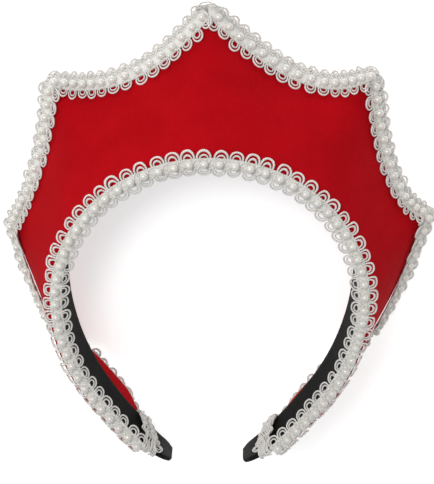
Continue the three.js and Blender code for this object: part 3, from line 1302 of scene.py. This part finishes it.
@dataclass
class BandBed(Bed):
    """Front edge of the band: level on it, drooping inside it, leaning with the crest outside."""

    rim: Rim
    droop: float = 25.0
    low_droop: float = 66.0
    low_from: float = 60.0
    low_full: float = 150.0
    least_lean: float = 0.05
    bend: float = 1.1

    def lay(self, run: Array, frame_run: Array, across: Array, stand: Array) -> Array:
        """Places round the band's front edge."""
        line = self.rim.line
        lean = np.maximum(self.rim.lean_at(run), self.least_lean)
        wall = line.crest_wall / np.sin(lean)
        outer = line.band_face + line.gap + wall + line.gap
        offset, drop, tilt = self._profile(across, outer, lean)
        inner = line.band_inset + line.gap
        hang = smooth_step(np.abs(run), self.low_from, self.low_full)
        droop = np.radians(self.droop + (self.low_droop - self.droop) * hang)
        in_offset, in_drop, in_tilt = self._profile(-across, np.full_like(run, inner), droop)
        outside = across > 0
        offset = np.where(outside, offset, -in_offset)
        drop = np.where(outside, drop, in_drop)
        tilt = np.where(outside, tilt, -in_tilt)
        base, _ = line.read(run)
        _, out = line.read(frame_run)
        made = base + out * (offset + stand * np.sin(tilt))[:, None] + line.shift
        made[:, 2] = line.front + line.gap - drop + stand * np.cos(tilt)
        return made

    def _profile(self, across: Array, start: Array, lean: Array) -> tuple[Array, Array, Array]:
        """Section that runs level, bends and then slopes.

        Args:
            across: length along the section from the braid's middle.
            start: where the slope starts.
            lean: the slope's angle.

        Returns:
            Offset, drop and tilt.
        """
        begin = start - self.bend
        curve = lean / (2 * self.bend)
        part = np.clip(across - begin, 0.0, 2 * self.bend)
        past = np.maximum(across - begin - 2 * self.bend, 0.0)
        tilt = part * curve
        level = np.minimum(across, begin)
        offset = level + np.sin(tilt) / curve + past * np.cos(lean)
        drop = (1 - np.cos(tilt)) / curve + past * np.sin(lean)
        return offset, drop, tilt


@dataclass
class RimBed(Bed):
    """Rim of the crest: on its outer face, with the outer scallops past its edge.

    The outer scallops turn up at the hinge. A row of the splay is a share of the band's half
    length, and there that turn in degrees and how far the braid slides out. The overlap is how
    many places the braid runs on past the top point.
    """

    rim: Rim
    side: Side
    width: float = 12.9
    gap: float = 0.4
    round_off: float = 1.6
    hinge: float = 1.6
    overlap: int = 8
    floor_gap: float = 0.02
    splay: tuple[Triple, ...] = (
        (0.0, 72.0, -1.2), (0.04, 24.0, 0.0), (0.42, 24.0, 0.0), (0.52, 38.0, 0.0),
        (0.63, 38.0, 0.0), (0.7, -30.0, 0.8), (0.76, -60.0, 1.4), (1.0, -60.0, 1.4),
    )
    run_known: Array = field(init=False, repr=False)
    foot: Array = field(init=False, repr=False)
    down: Array = field(init=False, repr=False)
    away: Array = field(init=False, repr=False)
    tight: Array = field(init=False, repr=False)
    bent: Array = field(init=False, repr=False)

    def __post_init__(self) -> None:
        """Works out the line and its directions once."""
        distance, edge = self.rim.whole()
        down, away, lean = self.rim.faces(distance, edge)
        reach = self.round_off / self.rim.spacing
        down, away = unit(soften(down, reach)), unit(soften(away, reach))
        rows = np.array(self.splay)
        share = np.abs(distance) / self.rim.line.half_length
        angle, slide = read_rows(share, rows[:, 0], rows[:, 1:]).T
        past = self.rim.line.rim_lift / np.sin(lean) + slide
        foot = edge + down * (past - self.width / 2)[:, None] + away * self.gap
        foot = soften(foot, reach)
        top = len(self.rim.side(Side.LEFT)[0]) - 1
        tight = self.rim.side(self.side)[2]
        over = self.side.value * self.overlap
        pick = slice(top - over, None, self.side.value)
        self.foot, self.down, self.away = foot[pick], down[pick], away[pick]
        self.tight = np.concatenate([np.ones(self.overlap), tight])
        self.bent = np.radians(angle[pick])
        run = along_line(self.foot)
        self.run_known = run - run[self.overlap]

    def lay(self, run: Array, frame_run: Array, across: Array, stand: Array) -> Array:
        """Places on the rim."""
        base = read_rows(run, self.run_known, self.foot)
        down = unit(read_rows(frame_run, self.run_known, self.down))
        away = unit(read_rows(frame_run, self.run_known, self.away))
        bent = np.interp(run, self.run_known, self.bent)
        past = np.maximum(across - self.hinge, 0.0)
        out = across - past * (1.0 - np.cos(bent))
        made = base + down * out[:, None] + away * (stand + past * np.sin(bent))[:, None]
        made[:, 2] = np.maximum(made[:, 2], self.floor_gap)
        return made


@dataclass
class PearlBraid:
    """Corded braid laid along a bed, with a pearl on each repeat after the bare ones."""

    name: str
    bed: Bed
    seats: Array
    widths: Array
    pattern: BraidPattern
    bare: int = 0
    pearl_radius: float = 1.85
    pearl_stand: float = 1.95
    pearl_segments: int = 20
    pearl_rings: int = 12
    pearl_slip: float = 0.2
    pearl_turn: float = 6.0
    seed: int = 11
    stiffness: float = 0.5

    def build(self) -> list[bpy.types.Object]:
        """Makes the cords and the pearls.

        Returns:
            The two pieces.
        """
        return [self._cords(), self._pearls()]

    def _cords(self) -> bpy.types.Object:
        """Lays the straight braid along the bed."""
        piece = self.pattern.strip(len(self.seats), self.name + "_cords")
        mesh = piece.data
        flat = read_points(mesh)
        index = np.clip(np.rint(read_values(mesh, "unit")).astype(int), 0, len(self.seats) - 1)
        slip = flat[:, 0] - index * self.pattern.pitch
        seat = self.seats[index]
        run = seat + slip * self.widths[index] / self.pattern.pitch
        held = seat + (run - seat) * (1 - self.stiffness)
        laid = self.bed.lay(run, held, flat[:, 1], flat[:, 2])
        mesh.vertices.foreach_set("co", (laid * MM).ravel())
        if self._inside_out(mesh):
            mesh.flip_normals()
        mesh.attributes.remove(mesh.attributes["unit"])
        shade_smooth(mesh)
        mesh.update()
        return hand_over(piece, [self.name])

    @staticmethod
    def _inside_out(mesh: bpy.types.Mesh) -> bool:
        """Whether laying the braid has turned its faces inwards."""
        mesh.calc_loop_triangles()
        rows = np.zeros(len(mesh.loop_triangles) * 3, np.int32)
        mesh.loop_triangles.foreach_get("vertices", rows)
        a, b, c = (read_points(mesh)[rows.reshape(-1, 3)[:, i]] for i in range(3))
        return float(np.einsum("ij,ij->", a, np.cross(b, c))) < 0

    def _pearls(self) -> bpy.types.Object:
        """Sets a pearl on each repeat after the bare ones."""
        seats = self.seats[self.bare:]
        none = np.zeros(len(seats))
        centre = self.bed.lay(seats, seats, none, none + self.pearl_stand)
        start = bpy.data.meshes.new(self.name + "_seats")
        start.from_pydata((centre * MM).tolist(), [], [])
        tree = Recipe(self.name + "_pearls_recipe", {"Pearl Radius": self.pearl_radius * MM})
        values = {"Segments": self.pearl_segments, "Rings": self.pearl_rings,
                  "Radius": tree.size("Pearl Radius")}
        ball = tree.node("GeometryNodeMeshUVSphere", None, values)
        size = tree.chance(0.97, 1.03, self.seed)
        roll, pitch = (tree.chance(0.0, self.pearl_turn, self.seed + i) for i in (1, 2))
        slip = self.pearl_slip * MM
        across, along = (tree.chance(-slip, slip, self.seed + i) for i in (3, 4))
        moved = tree.moved(tree.start(), tree.vector(across, along, 0.0))
        points = tree.node("GeometryNodeMeshToPoints", None, {"Mesh": moved})
        values = {"Points": points, "Instance": ball, "Rotation": tree.vector(roll, pitch, 0.0),
                  "Scale": size}
        made = tree.node("GeometryNodeInstanceOnPoints", None, values)
        tone = tree.chance(0.0, 1.0, self.seed + 5)
        marked = tree.keep(made, "tone", tone, "FLOAT", "INSTANCE")
        piece = tree.run(marked, PearlCream(), self.name + "_pearls", start)
        shade_smooth(piece.data)
        return hand_over(piece, [self.name])


@dataclass
class FrontBraid:
    """Braid along the headband's front edge."""

    rim: Rim
    pattern: BraidPattern = BraidPattern(
        outer_middle=3.2, outer_top=5.6, inner_middle=2.8, inner_top=4.15,
    )
    wrap_start: float = 18.1

    def build(self) -> list[bpy.types.Object]:
        """Makes the braid.

        Returns:
            Its pieces.
        """
        pitch = self.pattern.pitch
        reach = self.rim.line.half_length - self.wrap_start - self.rim.line.gap
        half = math.floor(reach / pitch)
        seats = (np.arange(-half, half) + 0.5) * pitch
        widths = np.full(len(seats), pitch)
        return PearlBraid("front_braid", BandBed(self.rim), seats, widths, self.pattern).build()


@dataclass
class RimBraid:
    """Braid along the crest's rim, down one side from the top point."""

    rim: Rim
    side: Side
    pattern: BraidPattern = BraidPattern(
        web=4.6, outer_top=6.5, inner_middle=3.4, inner_top=4.9, ground_thick=0.5,
        rails=(
            (2.1, 0.34, 0.2), (1.3, 0.3, 0.16), (-1.3, 0.3, 0.16), (-2.1, 0.34, 0.2),
            (2.9, 0.34, 0.5), (3.7, 0.36, 0.55), (4.5, 0.34, 0.55), (5.2, 0.3, 0.5),
        ),
    )
    pitch: float = 6.2
    join: float = 0.2

    def build(self) -> list[bpy.types.Object]:
        """Makes the braid.

        Returns:
            Its pieces.
        """
        bed = RimBed(self.rim, self.side)
        seats, widths = self._seats(bed)
        bare = 1 if self.side is Side.LEFT else 0
        if bare:
            seats = np.concatenate([[self.join], seats])
            widths = np.concatenate([[self.pitch], widths])
        name = f"{self.side.word}_rim_braid"
        return PearlBraid(name, bed, seats, widths, self.pattern, bare).build()

    def _seats(self, bed: RimBed) -> tuple[Array, Array]:
        """Places and widths of the repeats, closer together where the braid is bunched."""
        seats, widths = [], []
        place = self.join + self.pitch / 2
        while place < bed.run_known[-1]:
            width = self.pitch * float(np.interp(place, bed.run_known, bed.tight))
            seats.append(place)
            widths.append(width)
            place += width
        return np.array(seats), np.array(widths)


@dataclass
class BraidWrap:
    """End of the braid folded round the band above its tip: a ribbed wad with loose loops.

    A row of the loops is a ring's half width along the band, its half width round the band in
    hundredths of the way round, its cuts, its length and its cord's radius.
    """

    band: Headband
    side: Side
    start: float = 21.5
    length: float = 7.6
    slant: float = 8.0
    ribs: int = 15
    radius: float = 0.42
    rib_cuts: int = 40
    rib_stand: float = 0.5
    rib_crown: float = 0.9
    loops: int = 6
    loop_start: Triple = (3.4, 22.0, 0.7)
    loop_step: Triple = (-1.7, 13.0, 0.0)
    loop_stand: float = 0.5
    loop_rows: tuple[tuple[float, float, int, float, float], ...] = (
        (2.3, 9.0, 20, 12.0, 0.45), (1.2, 5.0, 14, 7.0, 0.38),
    )
    fold_round: float = 0.9
    seed: int = 40

    def build(self) -> bpy.types.Object:
        """Makes the wad.

        Returns:
            The piece.
        """
        name = f"{self.side.word}_braid_wrap"
        sizes = {"Ribs": self.ribs, "Rib Radius": self.radius, "Loops": self.loops}
        tree = Recipe(name + "_recipe", sizes)
        seed = self.seed + self.side.value * 9
        cords = tree.join(self._wad(tree, seed), self._loose(tree, seed + 3))
        piece = tree.run(cords, GimpWhite(), name + "_cords")
        mesh = piece.data
        flat = read_points(mesh)
        mesh.vertices.foreach_set("co", (self._round_band(flat) * MM).ravel())
        if self.side is Side.RIGHT:
            mesh.flip_normals()
        shade_smooth(mesh)
        mesh.update()
        return hand_over(piece, [name])

    def _wad(self, tree: Recipe, seed: int) -> Wire:
        """Bunched cords that run round the band at a slant.

        Args:
            tree: the recipe, flat: X along the band, Y hundredths of the way round, Z off it.
            seed: which set of random numbers.

        Returns:
            The cords as instances.
        """
        def place(share: Wire) -> Wire:
            """Place on a rib at a share of its length."""
            wind = 0.9 * (share * 23.0).sin() - (share - 0.45) * self.slant
            crown = self.rib_stand + self.rib_crown * (share * math.pi).sin()
            return tree.vector(wind, share * 100.0, crown + 0.35 * (share * 37.0).sin())

        curve = tree.line(self.rib_cuts, place, lambda share: share * 40.0)
        rib = tree.cord(curve, tree.size("Rib Radius"))
        step = (self.length / (self.ribs - 1), 0.0, 0.0)
        values = {"Count": tree.size("Ribs"), "Offset": step}
        points = tree.node("GeometryNodeMeshLine", None, values)
        slip = tree.vector(tree.chance(-0.6, 0.6, seed), tree.chance(-3.0, 3.0, seed + 4),
                           tree.chance(0.0, 0.7, seed + 1))
        moved = tree.moved(points, slip)
        size = tree.vector(1.0, 1.0, tree.chance(0.75, 1.3, seed + 2))
        turn = tree.vector(0.0, 0.0, tree.chance(-0.014, 0.014, seed + 3))
        return tree.node("GeometryNodeInstanceOnPoints", None,
                         {"Points": moved, "Instance": rib, "Rotation": turn, "Scale": size})

    def _loose(self, tree: Recipe, seed: int) -> Wire:
        """Loose scallops beside the wad, lying on the band.

        Args:
            tree: the recipe.
            seed: which set of random numbers.

        Returns:
            The loops as instances.
        """
        rings = [self._loop(tree, *row) for row in self.loop_rows]
        beside, around, stand = self.loop_start
        values = {"Count": tree.size("Loops"), "Offset": self.loop_step,
                  "Start Location": (self.length + beside, around, stand)}
        points = tree.node("GeometryNodeMeshLine", None, values)
        moved = tree.moved(points, tree.scatter(seed, 0.6, 3.0, 0.0))
        return tree.node("GeometryNodeInstanceOnPoints", None,
                         {"Points": moved, "Instance": tree.join(*rings)})

    def _loop(self, tree: Recipe, along: float, around: float, cuts: int, length: float,
              radius: float) -> Wire:
        """Open ring of cord that lies on the band.

        Args:
            tree: the recipe.
            along: its half width along the band.
            around: its half width round the band, in hundredths of the way round.
            cuts: how many points it has.
            length: the cord's length.
            radius: the cord's radius.

        Returns:
            The cord.
        """
        def place(share: Wire) -> Wire:
            """Place on the ring at a share of its length."""
            angle = share * (math.pi * 1.5) - math.pi * 0.75
            height = self.loop_stand + 0.2 * angle.cos()
            return tree.vector(angle.cos() * along, angle.sin() * around, height)

        return tree.cord(tree.line(cuts, place, lambda share: share * length), radius)

    def _round_band(self, flat: Array) -> Array:
        """Bends a flat wad round the band's section.

        Args:
            flat: X along the band, Y the share of the way round in hundredths, Z off it.

        Returns:
            The places.
        """
        line = self.band.line
        distance = self.side.value * np.minimum(line.half_length - self.start + flat[:, 0],
                                                line.half_length - 1.0)
        front, rear = self.band.edges(distance)
        wide, deep = line.band_wall, front - rear
        run = np.clip(flat[:, 1] / 100.0, -0.02, 1.02) * (2 * wide + deep)
        inner, outer = -line.band_inset, line.band_face
        reach = self.fold_round
        turn = smooth_step(run - wide, -reach, reach) + smooth_step(run - wide - deep, -reach, reach)
        turn = turn * math.pi / 2
        past = np.maximum(run - wide - deep, 0.0)
        offset = np.maximum(outer - run, inner) + past - flat[:, 2] * np.sin(turn)
        height = front - np.clip(run - wide, 0.0, deep) + flat[:, 2] * np.cos(turn)
        return line.at(distance, offset, height)


@dataclass(frozen=True)
class Lamp:
    """Soft square light that looks at the hood, with its place and size in metres."""

    name: str
    place: Triple
    size: float
    power: float

    def hang(self) -> None:
        """Adds the light to the scene."""
        data = bpy.data.lights.new(self.name, "AREA")
        data.size = self.size
        data.energy = self.power
        made = bpy.data.objects.new(self.name, data)
        bpy.context.scene.collection.objects.link(made)
        made.location = self.place
        made.rotation_euler = (-Vector(self.place)).to_track_quat("-Z", "Y").to_euler()


@dataclass(frozen=True)
class Photographer:
    """Camera at the photograph's angle, soft lights and a plain floor."""

    distance: float = 560.0
    elevation: float = 0.47039
    roll: float = -0.018781
    pixels_a_mm: float = 2.37248
    image: tuple[int, int] = (434, 484)
    aim: Triple = (2.616, -35.366, 47.25)
    sensor: float = 36.0
    clip: tuple[float, float] = (0.01, 20.0)
    floor_half: float = 6.0
    sky: float = 0.36
    lamps: tuple[Lamp, ...] = (
        Lamp("key", (-0.55, 0.45, 0.85), 0.6, 2.4),
        Lamp("spark", (-0.2, 0.52, 0.78), 0.28, 2.8),
        Lamp("fill", (0.75, -0.15, 0.8), 0.9, 0.8),
    )

    def floor(self) -> None:
        """Lays the floor."""
        signs = ((-1, -1), (1, -1), (1, 1), (-1, 1))
        mesh = bpy.data.meshes.new("floor")
        points = [(x * self.floor_half, y * self.floor_half, 0.0) for x, y in signs]
        mesh.from_pydata(points, [], [(0, 1, 2, 3)])
        mesh.materials.append(PaleFloor().make())
        add_object("floor", mesh)

    def camera(self, line: HoodLine) -> None:
        """Sets the camera.

        Args:
            line: the hood's front line, whose top the aim is measured from.
        """
        data = bpy.data.cameras.new("camera")
        made = bpy.data.objects.new("camera", data)
        bpy.context.scene.collection.objects.link(made)
        up = Vector((0.0, math.cos(self.elevation), -math.sin(self.elevation)))
        forward = Vector((0.0, -math.sin(self.elevation), -math.cos(self.elevation)))
        right = Vector((1.0, 0.0, 0.0))
        turned_right = right * math.cos(self.roll) - up * math.sin(self.roll)
        turned_up = right * math.sin(self.roll) + up * math.cos(self.roll)
        target = (Vector(self.aim) + Vector(line.shift)) * MM
        place = target - forward * self.distance * MM
        turn = Matrix((turned_right, turned_up, -forward)).transposed().to_4x4()
        made.matrix_world = Matrix.Translation(place) @ turn
        data.sensor_width = self.sensor
        data.lens = self.pixels_a_mm * self.distance / self.image[1] * self.sensor
        data.clip_start, data.clip_end = self.clip
        bpy.context.scene.camera = made

    def lights(self) -> None:
        """Sets two soft lights from the upper left, a weak one from the right, and a pale sky."""
        for lamp in self.lamps:
            lamp.hang()
        world = bpy.data.worlds.new("studio")
        bpy.context.scene.world = world
        world.use_nodes = True
        world.node_tree.nodes.clear()
        graph = Graph(world.node_tree)
        sky = graph.node("ShaderNodeBackground", None, {"Color": WHITE, "Strength": self.sky})
        graph.node("ShaderNodeOutputWorld", None, {"Surface": sky})
        bpy.context.scene.view_settings.view_transform = "Standard"


def main() -> None:
    """Builds the hood's pieces in order, then the floor, the camera and the lights."""
    logging.basicConfig(level=logging.INFO, format="%(message)s")
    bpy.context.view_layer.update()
    line = HoodLine()
    rim = Rim(line)
    band = Headband(line)
    band.build()
    Crest(rim).build()
    FrontBraid(rim).build()
    for side in Side:
        RimBraid(rim, side).build()
        BraidWrap(band, side).build()
    studio = Photographer()
    studio.floor()
    studio.camera(line)
    studio.lights()


if __name__ == "__main__":
    main()
